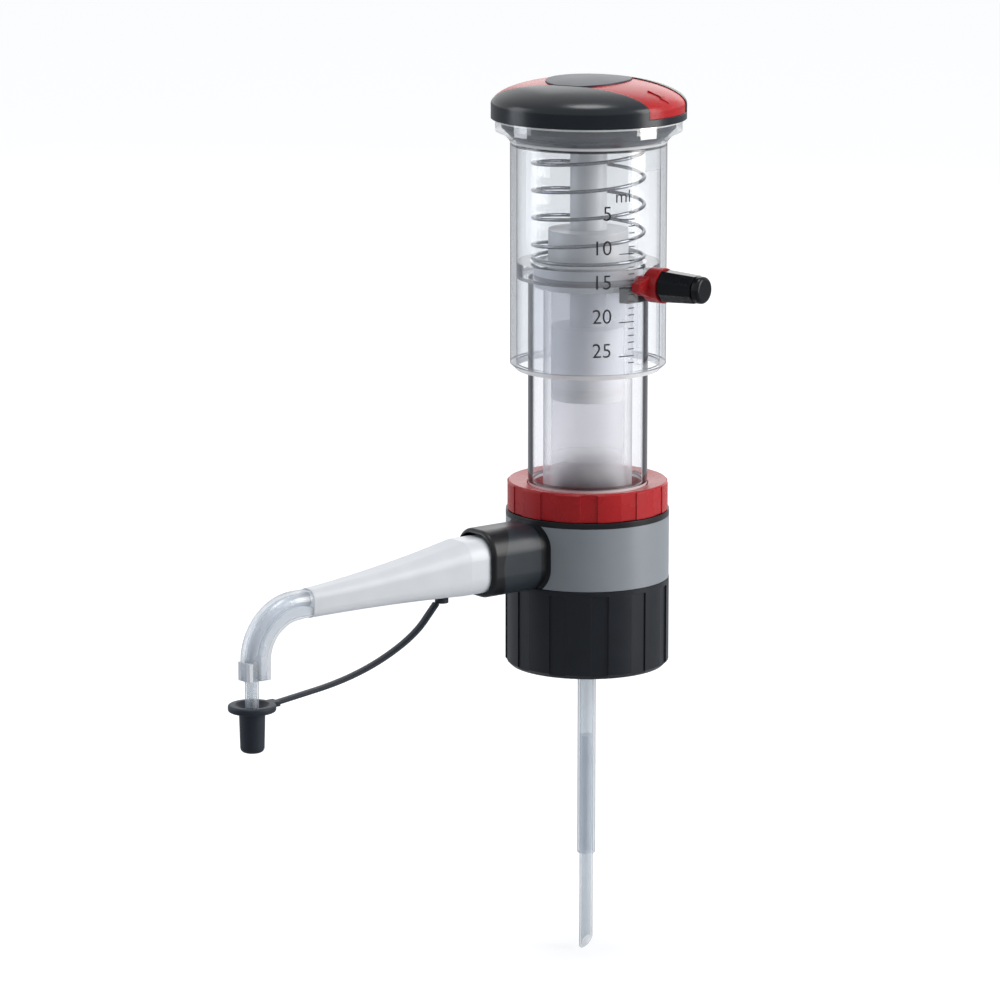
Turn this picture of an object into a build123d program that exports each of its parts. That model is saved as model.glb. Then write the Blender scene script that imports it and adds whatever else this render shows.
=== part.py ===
from build123d import *
import os
from math import cos, pi, radians, sin, sqrt

os.makedirs("parts", exist_ok=True)

# Bottle top dispenser, millimetres. Z = 0 is the bottle's rim and the vertical axis is the
# axis of the bottle neck. The spout points along -X; azimuths are counted from +X towards +Y.

# ---------------------------------------------------------------- dose and travel
bore_d = 24.0                  # measuring cylinder
dose_max_ml = 25.0
dose_set_ml = 15.0             # dose that the slider is set to
dead_gap = 0.35                # piston to cylinder floor after a full stroke
stop_gap = 0.2                 # slider's stop block to the guide tube's flange
mm_per_ml = 1000.0 / (pi / 4 * bore_d**2)
stroke = dose_set_ml * mm_per_ml

# ---------------------------------------------------------------- clearances
running_gap = 0.08             # turned fits that slide
moving_gap = 0.3               # pieces of different bodies beside each other
seat_gap = 0.05                # pieces of one body that are pushed together
turn_gap = 0.2                 # faces that turn on each other
cut_over = 1.0                 # how far a cut runs past a face

# ---------------------------------------------------------------- neck collar
collar_step = 0.1              # collar proud of the valve block
collar_drop = 24.0             # collar below the rim
neck_thread_d = 45.2
lip_t = 1.5
lip_bore_d = 35.0
collar_chamfer = 1.5
grip_count = 12
grip_w = 5.6
grip_depth = 0.6
grip_margin = 1.6
gasket_t = 1.5
gasket_od = 42.4
gasket_id = 25.0

# ---------------------------------------------------------------- valve block
core_flange_t = 1.85
core_d = 41.6
band_h = 20.6
band_t = 1.15
block_step = 0.4               # block proud of the locking ring
deck_t = 1.9
hood_w = 19.8
hood_h = 22.0
hood_corner = 7.6
hood_wall = 1.3
hood_l = 19.8                  # hood proud of the block
hood_border = 1.3
hood_lift = 10.1               # hood's centre above the block's bottom
hood_rim_fillet = 1.4

# ---------------------------------------------------------------- locking ring
ring_wall = 4.7                # ring around the guide tube's foot
ring_h = 9.3
ring_dish = 1.0
ring_chamfer = 0.6
ring_grip_phase = 22.0
ring_grip_depth = 0.4

# ---------------------------------------------------------------- cylinder and guide tube
cylinder_od = 29.0
floor_lift = 2.9               # cylinder floor above the block's deck
guide_od = 39.0
guide_wall = 1.8
foot_lip = 2.1
foot_h = 2.5
stop_flange_h = 5.2
head_depth = 8.0
head_boss_d = 26.0
head_boss_h = 10.5
head_lip = 4.0

# ---------------------------------------------------------------- stroke sleeve
sleeve_room = 3.8              # guide tube to the sleeve's bore
sleeve_wall = 2.05
sleeve_clear = 3.6             # sleeve to locking ring after a full stroke
sleeve_h = 74.1                # straight tube
sleeve_chamfer = 2.0
funnel_h = 3.75
funnel_sweep_r = 7.5
flange_reach = 4.85            # flange proud of the sleeve
flange_h = 6.0
flange_wall = 2.0
slot_w = 13.0
slot_corner = 1.6
slot_margin = 4.34             # sleeve left under the slot
slider_azimuth = 285.0

# ---------------------------------------------------------------- press cap
cap_step = 1.4                 # cap proud of the sleeve's flange
skirt_h = 4.6
skirt_lap = 2.0                # skirt over the sleeve's flange
skirt_t = 0.95
dome_h = 8.7
lobe_azimuth = 206.0           # from the axis to the lobe above the spout
lobe_edge_r = 190.0
lobe_front = 16.5              # axis to the edge of the lobe above the spout
lobe_back = 12.0               # axis to the edge of the other lobe
window_sill = 2.3              # skirt left under the red window
window_drop = 0.4              # windows below the lobes
plate_t = 0.65
disc_l = 34.0                  # centre piece, from lobe to lobe
disc_w = 26.2                  # centre piece, from window to window
disc_depth = 2.4

# ---------------------------------------------------------------- piston, rod and spring
piston_h = 24.0
rod_d = 12.0
rod_flange_d = 29.6
rod_flange_t = 2.6
seal_h = 2.2
seal_depth = 0.8
seal_lift = 2.0
spring_wire_d = 1.4
spring_inset = 1.5             # coil's centreline inside the guide tube
spring_pitch = 9.0
spring_cup_t = 1.6
spring_cup_drop = 6.0
cup_wall = 1.2
plug_wall = 1.5                # cup's lining of the sleeve's flange
plug_foot = 0.8

# ---------------------------------------------------------------- volume slider and knob
pointer_t = 2.6
pointer_h = 10.8
pointer_tip_h = 2.6
pointer_back = 2.6
pointer_reach = 9.2
hub_d = 11.4
hub_h = 5.05                   # hub proud of the sleeve
neck_h = 6.4
block_h = 5.5
block_w = 16.0
knob_d = 10.8
knob_end_d = 9.4
knob_l = 15.6
knob_facets = 8
knob_cap_d = 8.8
knob_cap_l = 3.0
knob_cap_round = 1.2
knob_groove_w = 0.5
knob_groove_depth = 0.6
clamp_screw_d = 4.0
screw_in_knob = 8.0

# ---------------------------------------------------------------- spout and outlet
outlet_z = 12.8
spout_root_h = 18.0
spout_root_drop = 0.4          # spout's centre below the hood's
spout_root_show = 7.5          # level root beyond the hood
spout_plug_l = 8.5             # root inside the hood
spout_mid_share = 0.458        # middle section, as a share of the way to the tip
spout_mid_w = 12.6
spout_mid_h = 12.2
spout_mid_corner = 4.0
spout_mid_rise = 0.4
spout_tip_w = 7.6
spout_tip_h = 9.2
spout_tip_corner = 3.0
spout_tip_drop = 1.2
spout_tip_gap = 4.6            # tip section to the start of the bend
web_w = 6.0
bend_r = 17.0                  # outlet tube's centreline
web_outer_cut = 1.4
web_depth = 5.3
web_inset = 1.0
clip_wall = 3.0
nozzle_reach = 134.6
nozzle_h = 5.9
clip_slot_w = 3.0
outlet_tube_od = 4.4
outlet_tube_id = 3.0
outlet_tube_drop = 21.8        # below the bend's end
nose_show = 3.5                # valve body beyond the hood
valve_body_d = 10.0
valve_flange_d = 13.0
outlet_ball_d = 4.4
outlet_seat_d = 3.2
ball_lift = 1.5

# ---------------------------------------------------------------- closure cap and tether
cap_top_drop = 7.7             # cap's rim below the nozzle
closure_h = 15.4
closure_flange_d = 15.2
closure_flange_t = 2.2
closure_body_d = 8.3
closure_foot_d = 7.6
closure_floor = 2.4
closure_mouth_d = 11.0
closure_mouth_h = 3.0
closure_round = 1.6
tab_w = 4.2
tab_l = 9.4
tab_t = 1.6
tab_lift = 0.55
closure_edge_round = 0.7
strap_w = 3.0
strap_t = 1.1
strap_bend_r = 55.0
strap_low = (0.479, 0.148)      # shares of the way and the rise, from the cap to the stud
strap_high = (0.844, 0.549)
anchor_step = 6.0              # stud beyond the spout's root
anchor_d = 4.4
anchor_pin_d = 2.6
anchor_pin_l = 3.2
anchor_h = 1.6

# ---------------------------------------------------------------- filling side
filling_bore_d = 8.0
nozzle_hex_d = 12.0
nozzle_hex_t = 4.0
filling_body_d = 9.2
filling_body_drop = 20.0
inlet_ball_d = 5.0
inlet_seat_d = 3.4
inlet_seat_h = 2.0
filling_tube_od = 6.0
filling_tube_id = 4.6
filling_tube_plug = 5.6
upper_tube_l = 76.0
lower_tube_l = 75.0
lower_tube_show = 35.0
lower_tube_wall = 0.7
passage_d = 3.0

# ---------------------------------------------------------------- vent
vent_stem_d = 5.2
vent_cap_d = 8.4
vent_cap_t = 2.0
vent_seal_t = 0.8
vent_depth = 17.0

# ================================================================ derived radii
guide_r = guide_od / 2
guide_in_r = guide_r - guide_wall
foot_d = guide_od + 2 * foot_lip
ring_d = foot_d + 2 * ring_wall
block_d = ring_d + 2 * block_step
block_r = block_d / 2
collar_d = block_d + 2 * collar_step
collar_r = collar_d / 2
band_in_r = block_r - band_t
core_r = core_d / 2
sleeve_in_r = guide_r + sleeve_room
sleeve_r = sleeve_in_r + sleeve_wall
flange_r = sleeve_r + flange_reach
flange_in_r = flange_r - flange_wall
cap_r = flange_r + cap_step
cap_d = 2 * cap_r
spring_mean_d = guide_od - 2 * spring_inset

# ================================================================ derived reaches
hood_reach = block_r + hood_l
spout_root_end = hood_reach + spout_root_show
spout_start = hood_reach - spout_plug_l
valve_nose = hood_reach + nose_show
anchor_reach = spout_root_end + anchor_step
bend_reach = nozzle_reach - bend_r
tip_reach = bend_reach - spout_tip_gap
mid_reach = spout_root_end + spout_mid_share * (tip_reach - spout_root_end)
tab_reach = nozzle_reach - tab_l
hub_reach = sleeve_r + hub_h
knob_reach = hub_reach + knob_l

# ================================================================ derived heights
flange_top = gasket_t + core_flange_t
lip_z = flange_top + turn_gap
collar_top = lip_z + lip_t
block_z = collar_top + turn_gap
band_top = block_z + band_h
deck_top = band_top + deck_t
ring_z = deck_top + turn_gap
ring_top = ring_z + ring_h
cylinder_floor = deck_top + floor_lift
piston_z = cylinder_floor + dead_gap + stroke
sleeve_z = ring_top + sleeve_clear + stroke
slot_low = sleeve_z + slot_margin
stop_z = slot_low + (dose_max_ml - dose_set_ml) * mm_per_ml + neck_h / 2 + moving_gap
slot_high = stop_z + stroke + neck_h / 2 + moving_gap
guide_top = stop_z + stop_flange_h
funnel_z = sleeve_z + sleeve_h
flange_z = funnel_z + funnel_h
sleeve_top = flange_z + flange_h
skirt_z = sleeve_top - skirt_lap
dome_edge_z = skirt_z + skirt_h
dome_top = dome_edge_z + dome_h
plate_z = sleeve_top + seat_gap
cup_z = plate_z - spring_cup_drop
hood_z = block_z + hood_lift
spout_root_w = hood_w - 2 * hood_wall - 2 * moving_gap
spout_root_corner = hood_corner - hood_wall - moving_gap
spout_root_z = hood_z - spout_root_drop
anchor_z = spout_root_z - spout_root_h / 2 - seat_gap
bend_z = outlet_z - bend_r
nozzle_z = bend_z - nozzle_h
mid_z = outlet_z + spout_mid_rise
tip_z = outlet_z - spout_tip_drop


def turned(points, mode=Mode.ADD):
    """Revolves a closed profile of (radius, height) points about the vertical axis."""
    with BuildSketch(Plane.XZ) as profile:
        with BuildLine():
            Polyline(*points, close=True)
        make_face()
    revolve(profile.sketch, axis=Axis.Z, mode=mode)


def turned_level(points, height, mode=Mode.ADD):
    """Revolves (reach, radius) points about the level axis along -X at a height."""
    with BuildSketch(Plane.XZ) as profile:
        with BuildLine():
            Polyline(*[(-reach, height + radius) for reach, radius in points], close=True)
        make_face()
    revolve(profile.sketch, axis=Axis((0, 0, height), (1, 0, 0)), mode=mode)


def tube(outer_d, inner_d, z0, z1, mode=Mode.ADD):
    """A tube, or a rod where inner_d is 0, about the vertical axis."""
    with BuildSketch(Plane.XY.offset(z0)) as section:
        Circle(outer_d / 2)
        if inner_d:
            Circle(inner_d / 2, mode=Mode.SUBTRACT)
    extrude(section.sketch, amount=z1 - z0, mode=mode)


def grip(radius, depth, z0, z1, phase):
    """Cuts the flat finger recesses of a turned rim."""
    with BuildSketch(Plane.XY.offset(z0)) as recesses:
        with PolarLocations(radius, grip_count, start_angle=phase):
            Rectangle(2 * depth, grip_w)
    extrude(recesses.sketch, amount=z1 - z0, mode=Mode.SUBTRACT)


def save(part, label):
    """Labels a finished piece and writes it."""
    part.label = label
    export_step(part, f"parts/{label}.step")


# ================================================================ neck collar
with BuildPart() as threaded_collar:
    turned([
        (neck_thread_d / 2, -collar_drop),
        (collar_r - collar_chamfer, -collar_drop),
        (collar_r, collar_chamfer - collar_drop),
        (collar_r, collar_top),
        (lip_bore_d / 2, collar_top),
        (lip_bore_d / 2, lip_z),
        (neck_thread_d / 2, lip_z),
    ])
    grip(collar_r, grip_depth, -collar_drop, collar_top - grip_margin, 0)
save(threaded_collar.part, "threaded_collar")

with BuildPart() as bottle_gasket:
    tube(gasket_od, gasket_id, 0, gasket_t)
save(bottle_gasket.part, "bottle_gasket")

# ================================================================ valve block
spigot_r = bore_d / 2 - seat_gap
core_neck_r = lip_bore_d / 2 - turn_gap
cylinder_z = deck_top - deck_t / 2
boss_r = guide_in_r - moving_gap
core_flange_r = gasket_od / 2

with BuildPart() as valve_core:
    turned([
        (0, gasket_t),
        (core_flange_r, gasket_t),
        (core_flange_r, flange_top),
        (core_neck_r, flange_top),
        (core_neck_r, block_z),
        (core_r, block_z),
        (core_r, band_top - seat_gap),
        (boss_r, band_top - seat_gap),
        (boss_r, cylinder_z),
        (spigot_r, cylinder_z),
        (spigot_r, cylinder_floor),
        (0, cylinder_floor),
    ])
    tube(filling_bore_d, 0, gasket_t, outlet_z - passage_d, mode=Mode.SUBTRACT)
    tube(passage_d, 0, gasket_t, cylinder_floor, mode=Mode.SUBTRACT)
    turned_level([
        (0, 0), (0, passage_d / 2), (core_r / 2, passage_d / 2),
        (core_r / 2, valve_body_d / 2 + seat_gap), (block_r, valve_body_d / 2 + seat_gap), (block_r, 0),
    ], outlet_z, mode=Mode.SUBTRACT)
    turned_level([
        (-vent_depth, 0), (-vent_depth, vent_stem_d / 2 + seat_gap),
        (-block_r, vent_stem_d / 2 + seat_gap), (-block_r, 0),
    ], hood_z, mode=Mode.SUBTRACT)
    groove_z = (cylinder_z + cylinder_floor - seal_h) / 2
    tube(2 * (spigot_r + cut_over), 2 * (spigot_r - seal_depth), groove_z, groove_z + seal_h, mode=Mode.SUBTRACT)
save(valve_core.part, "valve_core")

with BuildPart() as cylinder_seal:
    tube(2 * (bore_d / 2 - seat_gap / 2), 2 * (spigot_r - seal_depth + seat_gap), groove_z + seat_gap,
         groove_z + seal_h - seat_gap)
save(cylinder_seal.part, "cylinder_seal")

with BuildPart() as hood_lip:
    tube(block_d, 2 * band_in_r, block_z, band_top)
    with BuildSketch(Plane.YZ.offset(-block_r)):
        with Locations((0, hood_z)):
            RectangleRounded(hood_w + 2 * hood_border, hood_h + 2 * hood_border,
                             hood_corner + hood_border)
    extrude(amount=block_r / 2, mode=Mode.INTERSECT)

with BuildPart() as housing_shell:
    tube(2 * band_in_r, core_d + 2 * seat_gap, block_z, band_top)
    tube(block_d, 2 * (boss_r + seat_gap), band_top, deck_top)
    add(hood_lip.part)
    with BuildSketch(Plane.YZ.offset(-hood_reach)):
        with Locations((0, hood_z)):
            RectangleRounded(hood_w, hood_h, hood_corner)
    extrude(amount=hood_reach - core_r)
    mouth = housing_shell.faces().sort_by(Axis.X)[0]
    fillet(mouth.edges(), radius=hood_rim_fillet)
    with BuildSketch(Plane.YZ.offset(-hood_reach)):
        with Locations((0, hood_z)):
            RectangleRounded(hood_w - 2 * hood_wall, hood_h - 2 * hood_wall, hood_corner - hood_wall)
    extrude(amount=hood_reach - core_r / 2, mode=Mode.SUBTRACT)
    tube(core_d + 2 * seat_gap, 0, block_z, band_top, mode=Mode.SUBTRACT)
    tube(collar_d + 2 * moving_gap, 0, 0, block_z, mode=Mode.SUBTRACT)
    turned_level([
        (0, 0), (0, vent_stem_d / 2 + seat_gap),
        (-block_r, vent_stem_d / 2 + seat_gap), (-block_r, 0),
    ], hood_z, mode=Mode.SUBTRACT)
save(housing_shell.part, "housing_shell")

with BuildPart() as front_band:
    tube(block_d, 2 * band_in_r, block_z, band_top)
    with BuildSketch(Plane.YZ.offset(-block_r)):
        with Locations((0, hood_z)):
            RectangleRounded(hood_w + 2 * (hood_border + seat_gap), hood_h + 2 * (hood_border + seat_gap),
                             hood_corner + hood_border + seat_gap)
    extrude(amount=block_r, mode=Mode.SUBTRACT)
    turned_level([
        (0, 0), (0, vent_stem_d / 2 + seat_gap),
        (-block_r - cut_over, vent_stem_d / 2 + seat_gap), (-block_r - cut_over, 0),
    ], hood_z, mode=Mode.SUBTRACT)
save(front_band.part, "front_band")

# ================================================================ vent plug, opposite the spout
vent_seal_x = block_r + seat_gap
with BuildPart() as vent_seal:
    turned_level([
        (-vent_seal_x, vent_stem_d / 2 + seat_gap), (-vent_seal_x, vent_cap_d / 2 - seat_gap),
        (-vent_seal_x - vent_seal_t, vent_cap_d / 2 - seat_gap),
        (-vent_seal_x - vent_seal_t, vent_stem_d / 2 + seat_gap),
    ], hood_z)
save(vent_seal.part, "vent_seal")

with BuildPart() as vent_cap:
    turned_level([
        (-vent_depth - seat_gap, 0), (-vent_depth - seat_gap, vent_stem_d / 2),
        (-vent_seal_x - vent_seal_t, vent_stem_d / 2), (-vent_seal_x - vent_seal_t, vent_cap_d / 2),
        (-vent_seal_x - vent_seal_t - vent_cap_t, vent_cap_d / 2),
        (-vent_seal_x - vent_seal_t - vent_cap_t, 0),
    ], hood_z)
save(vent_cap.part, "vent_cap")

# ================================================================ filling valve and tubes
filling_r = filling_body_d / 2
body_foot = gasket_t - filling_body_drop
tube_seat = body_foot + filling_tube_plug
inlet_r = inlet_ball_d / 2
inlet_seat_z = tube_seat + inlet_seat_h
inlet_ball_z = inlet_seat_z + sqrt(inlet_r**2 - (inlet_seat_d / 2) ** 2) + seat_gap
chamber_top = inlet_ball_z + inlet_r + ball_lift + moving_gap
with BuildPart() as filling_valve_body:
    tube(filling_bore_d - 2 * seat_gap, 0, gasket_t - seat_gap, outlet_z - passage_d - seat_gap)
    tube(filling_body_d, 0, body_foot, gasket_t - seat_gap)
    with BuildSketch(Plane.XY.offset(gasket_t - seat_gap - nozzle_hex_t)):
        RegularPolygon(nozzle_hex_d / 2, 6)
    extrude(amount=nozzle_hex_t)
    tube(passage_d, 0, body_foot, outlet_z, mode=Mode.SUBTRACT)
    tube(inlet_seat_d, 0, tube_seat, chamber_top, mode=Mode.SUBTRACT)
    tube(inlet_ball_d + 2 * moving_gap, 0, inlet_seat_z, chamber_top, mode=Mode.SUBTRACT)
    tube(filling_tube_od + 2 * seat_gap, 0, body_foot, tube_seat, mode=Mode.SUBTRACT)
save(filling_valve_body.part, "filling_valve_body")

with BuildPart() as inlet_ball:
    with Locations((0, 0, inlet_ball_z)):
        Sphere(inlet_r)
save(inlet_ball.part, "inlet_ball")

upper_tube_foot = tube_seat - seat_gap - upper_tube_l
with BuildPart() as filling_tube_upper:
    tube(filling_tube_od, filling_tube_id, upper_tube_foot, tube_seat - seat_gap)
save(filling_tube_upper.part, "filling_tube_upper")

lower_tube_foot = upper_tube_foot - lower_tube_show
lower_tube_od = filling_tube_id - 2 * running_gap
with BuildPart() as filling_tube_lower:
    tube(lower_tube_od, lower_tube_od - 2 * lower_tube_wall, lower_tube_foot,
         lower_tube_foot + lower_tube_l)
    with BuildSketch(Plane.XZ):
        with BuildLine():
            Polyline((-lower_tube_od, lower_tube_foot), (lower_tube_od, lower_tube_foot),
                     (lower_tube_od, lower_tube_foot + 2 * lower_tube_od), close=True)
        make_face()
    extrude(amount=lower_tube_od, both=True, mode=Mode.SUBTRACT)
save(filling_tube_lower.part, "filling_tube_lower")

# ================================================================ discharge valve
outlet_ball_r = outlet_ball_d / 2
outlet_seat_reach = block_r
ball_reach = outlet_seat_reach + sqrt(outlet_ball_r**2 - (outlet_seat_d / 2) ** 2) + seat_gap
ball_room_end = ball_reach + outlet_ball_r + ball_lift + moving_gap
valve_root = core_r / 2 + seat_gap
tube_start = valve_nose - filling_tube_plug
nose_r = outlet_tube_od / 2 + hood_wall
with BuildPart() as discharge_valve_body:
    turned_level([
        (valve_root, 0), (valve_root, valve_body_d / 2), (core_r + seat_gap, valve_body_d / 2),
        (core_r + seat_gap, valve_flange_d / 2), (block_r + hood_wall, valve_flange_d / 2),
        (block_r + hood_wall, valve_body_d / 2), (ball_room_end + hood_wall, valve_body_d / 2),
        (ball_room_end + hood_wall, nose_r), (valve_nose, nose_r), (valve_nose, 0),
    ], outlet_z)
    turned_level([
        (valve_root, 0), (valve_root, passage_d / 2), (outlet_seat_reach - hood_wall, passage_d / 2),
        (outlet_seat_reach - hood_wall, outlet_seat_d / 2), (outlet_seat_reach, outlet_seat_d / 2),
        (outlet_seat_reach, outlet_ball_r + moving_gap), (ball_room_end, outlet_ball_r + moving_gap),
        (ball_room_end, passage_d / 2), (tube_start, passage_d / 2),
        (tube_start, outlet_tube_od / 2 + seat_gap), (valve_nose, outlet_tube_od / 2 + seat_gap),
        (valve_nose, 0),
    ], outlet_z, mode=Mode.SUBTRACT)
save(discharge_valve_body.part, "discharge_valve_body")

with BuildPart() as outlet_ball:
    with Locations((-ball_reach, 0, outlet_z)):
        Sphere(outlet_ball_r)
save(outlet_ball.part, "outlet_ball")

# ================================================================ outlet tube: straight, bend, drop
tube_end_z = bend_z - outlet_tube_drop
with BuildPart() as outlet_tube:
    with BuildLine() as outlet_route:
        level = Line((-tube_start - seat_gap, 0, outlet_z), (-bend_reach, 0, outlet_z))
        turn = ThreePointArc(
            level @ 1,
            (-bend_reach - bend_r * sin(radians(45)), 0, bend_z + bend_r * cos(radians(45))),
            (-nozzle_reach, 0, bend_z),
        )
        Line(turn @ 1, (-nozzle_reach, 0, tube_end_z))
    with BuildSketch(Plane(origin=level @ 0, z_dir=(-1, 0, 0))):
        Circle(outlet_tube_od / 2)
        Circle(outlet_tube_id / 2, mode=Mode.SUBTRACT)
    sweep()
save(outlet_tube.part, "outlet_tube")

# ================================================================ spout
with BuildPart() as tube_channel:
    with BuildLine():
        inlet_run = Line((-spout_start, 0, outlet_z), (-bend_reach, 0, outlet_z))
        bore_turn = ThreePointArc(
            inlet_run @ 1,
            (-bend_reach - bend_r * sin(radians(45)), 0, bend_z + bend_r * cos(radians(45))),
            (-nozzle_reach, 0, bend_z),
        )
        Line(bore_turn @ 1, (-nozzle_reach, 0, nozzle_z - cut_over))
    with BuildSketch(Plane(origin=inlet_run @ 0, z_dir=(-1, 0, 0))):
        Circle(outlet_tube_od / 2 + seat_gap)
    sweep()

web_out_r = bend_r - web_outer_cut
web_in_r = bend_r - web_depth
web_start_z = bend_z + sqrt(web_out_r**2 - (bend_reach - tip_reach) ** 2)
with BuildPart() as spout:
    with BuildSketch(Plane.YZ.offset(-spout_start)):
        with Locations((0, spout_root_z)):
            RectangleRounded(spout_root_w, spout_root_h, spout_root_corner)
    extrude(amount=spout_start - spout_root_end)
    for reach, width, height, corner, centre in (
        (spout_root_end, spout_root_w, spout_root_h, spout_root_corner, spout_root_z),
        (mid_reach, spout_mid_w, spout_mid_h, spout_mid_corner, mid_z),
        (tip_reach, spout_tip_w, spout_tip_h, spout_tip_corner, tip_z),
    ):
        with BuildSketch(Plane.YZ.offset(-reach)):
            with Locations((0, centre)):
                RectangleRounded(width, height, corner)
    loft()
    with BuildSketch(Plane.XZ):
        with BuildLine():
            Polyline((-bend_reach, bend_z + web_in_r), (-tip_reach, tip_z - spout_tip_h / 2 + web_inset),
                     (-tip_reach, web_start_z))
            RadiusArc((-tip_reach, web_start_z), (-bend_reach - web_out_r, bend_z), -web_out_r)
            Polyline((-bend_reach - web_out_r, bend_z), (-nozzle_reach - clip_wall, bend_z),
                     (-nozzle_reach - clip_wall, nozzle_z), (-nozzle_reach + web_depth, nozzle_z),
                     (-nozzle_reach + web_depth, bend_z))
            RadiusArc((-nozzle_reach + web_depth, bend_z), (-bend_reach, bend_z + web_in_r), web_in_r)
        make_face()
    extrude(amount=web_w / 2, both=True)
    add(tube_channel.part, mode=Mode.SUBTRACT)
    with BuildSketch(Plane.XY.offset(nozzle_z)):
        with Locations((-nozzle_reach, -web_w / 2)):
            Rectangle(clip_slot_w, web_w)
    extrude(amount=nozzle_h + cut_over, mode=Mode.SUBTRACT)
    turned_level([
        (spout_start, 0), (spout_start, nose_r + seat_gap), (valve_nose + seat_gap, nose_r + seat_gap),
        (valve_nose + seat_gap, 0),
    ], outlet_z, mode=Mode.SUBTRACT)
    with Locations((-anchor_reach, 0, 0)):
        Cylinder(anchor_pin_d / 2 + seat_gap, anchor_z + anchor_pin_l + seat_gap,
                 align=(Align.CENTER, Align.CENTER, Align.MIN), mode=Mode.SUBTRACT)
save(spout.part, "spout")

# ================================================================ closure cap and tether
closure_rim = nozzle_z - cap_top_drop
closure_foot = closure_rim - closure_h
closure_bore_r = outlet_tube_od / 2 + moving_gap
tab_z = closure_rim - closure_flange_t
with BuildPart() as closure_cap:
    with BuildSketch(Plane.XZ) as closure_profile:
        with BuildLine():
            Polyline(
                (0, closure_foot), (closure_foot_d / 2, closure_foot),
                (closure_body_d / 2, tab_z), (closure_flange_d / 2, tab_z),
                (closure_flange_d / 2, closure_rim), (closure_mouth_d / 2, closure_rim),
                (closure_bore_r, closure_rim - closure_mouth_h),
                (closure_bore_r, closure_foot + closure_floor), (0, closure_foot + closure_floor),
                close=True,
            )
        make_face()
    revolve(axis=Axis.Z)
    foot_edge = closure_cap.edges().filter_by(GeomType.CIRCLE).sort_by(Axis.Z)[0]
    fillet(foot_edge, radius=closure_round)
    rim_edges = closure_cap.edges().filter_by(GeomType.CIRCLE).sort_by(SortBy.RADIUS)[-2:]
    fillet(rim_edges, radius=closure_edge_round)
    tab_start = closure_mouth_d / 2 + closure_edge_round
    with BuildSketch(Plane.XY.offset(tab_z + tab_lift)):
        with Locations(((tab_l + tab_start) / 2, 0)):
            Rectangle(tab_l - tab_start, tab_w)
    extrude(amount=tab_t)
save(Location((-nozzle_reach, 0, 0)) * closure_cap.part, "closure_cap")

strap_z = tab_z + tab_lift + tab_t / 2
strap_end = anchor_reach + anchor_d / 2
strap_way = tab_reach - strap_end
strap_rise = anchor_z - anchor_h - strap_z
with BuildPart() as cap_tether:
    with BuildSketch(Plane.XZ):
        with BuildLine() as strap_route:
            FilletPolyline(
                (seat_gap - tab_reach, strap_z),
                (strap_low[0] * strap_way - tab_reach, strap_z + strap_low[1] * strap_rise),
                (strap_high[0] * strap_way - tab_reach, strap_z + strap_high[1] * strap_rise),
                (-strap_end, anchor_z - anchor_h),
                radius=strap_bend_r,
            )
        trace(line_width=strap_t)
    extrude(amount=strap_w / 2, both=True)
save(cap_tether.part, "cap_tether")

with BuildPart() as tether_anchor:
    tube(anchor_d, 0, anchor_z - anchor_h, anchor_z)
    tube(anchor_pin_d, 0, anchor_z, anchor_z + anchor_pin_l)
save(Location((-anchor_reach, 0, 0)) * tether_anchor.part, "tether_anchor")

# ================================================================ locking ring
ring_r = ring_d / 2
ring_bore_r = guide_r + moving_gap
foot_pocket_r = foot_d / 2 + moving_gap
with BuildPart() as locking_ring:
    turned([
        (foot_pocket_r, ring_z),
        (ring_r, ring_z),
        (ring_r, ring_top - ring_chamfer),
        (ring_r - ring_chamfer, ring_top),
        (ring_bore_r, ring_top - ring_dish),
        (ring_bore_r, deck_top + foot_h + moving_gap),
        (foot_pocket_r, deck_top + foot_h + moving_gap),
    ])
    grip(ring_r, ring_grip_depth, ring_z, ring_top, ring_grip_phase)
save(locking_ring.part, "locking_ring")

# ================================================================ cylinder, guide tube, head
head_z = guide_top - head_depth
cylinder_top = head_z + head_lip
stop_flange_r = sleeve_in_r - running_gap
with BuildPart() as cylinder:
    tube(cylinder_od, bore_d, cylinder_z + seat_gap, cylinder_top)
save(cylinder.part, "cylinder")

with BuildPart() as guide_tube:
    turned([
        (guide_in_r, deck_top),
        (foot_d / 2, deck_top),
        (foot_d / 2, deck_top + foot_h),
        (guide_r, deck_top + foot_h),
        (guide_r, stop_z),
        (stop_flange_r, stop_z),
        (stop_flange_r, guide_top),
        (guide_in_r, guide_top),
    ])
save(guide_tube.part, "guide_tube")

with BuildPart() as cylinder_head:
    turned([
        (rod_d / 2 + running_gap, cylinder_top + seat_gap),
        (cylinder_od / 2 + seat_gap, cylinder_top + seat_gap),
        (cylinder_od / 2 + seat_gap, head_z),
        (guide_in_r - seat_gap, head_z),
        (guide_in_r - seat_gap, guide_top),
        (head_boss_d / 2, guide_top),
        (head_boss_d / 2, guide_top + head_boss_h),
        (rod_d / 2 + running_gap, guide_top + head_boss_h),
    ])
save(cylinder_head.part, "cylinder_head")

# ================================================================ piston and rod
piston_r = bore_d / 2 - running_gap
groove_foot = piston_z + seal_lift
with BuildPart() as piston:
    turned([
        (0, piston_z),
        (piston_r, piston_z),
        (piston_r, groove_foot),
        (piston_r - seal_depth, groove_foot),
        (piston_r - seal_depth, groove_foot + seal_h),
        (piston_r, groove_foot + seal_h),
        (piston_r, piston_z + piston_h),
        (rod_d / 2, piston_z + piston_h),
        (rod_d / 2, piston_z + piston_h / 2),
        (0, piston_z + piston_h / 2),
    ])
save(piston.part, "piston")

with BuildPart() as piston_seal:
    tube(2 * piston_r + running_gap, 2 * (piston_r - seal_depth + seat_gap), groove_foot + seat_gap,
         groove_foot + seal_h - seat_gap)
save(piston_seal.part, "piston_seal")

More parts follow.
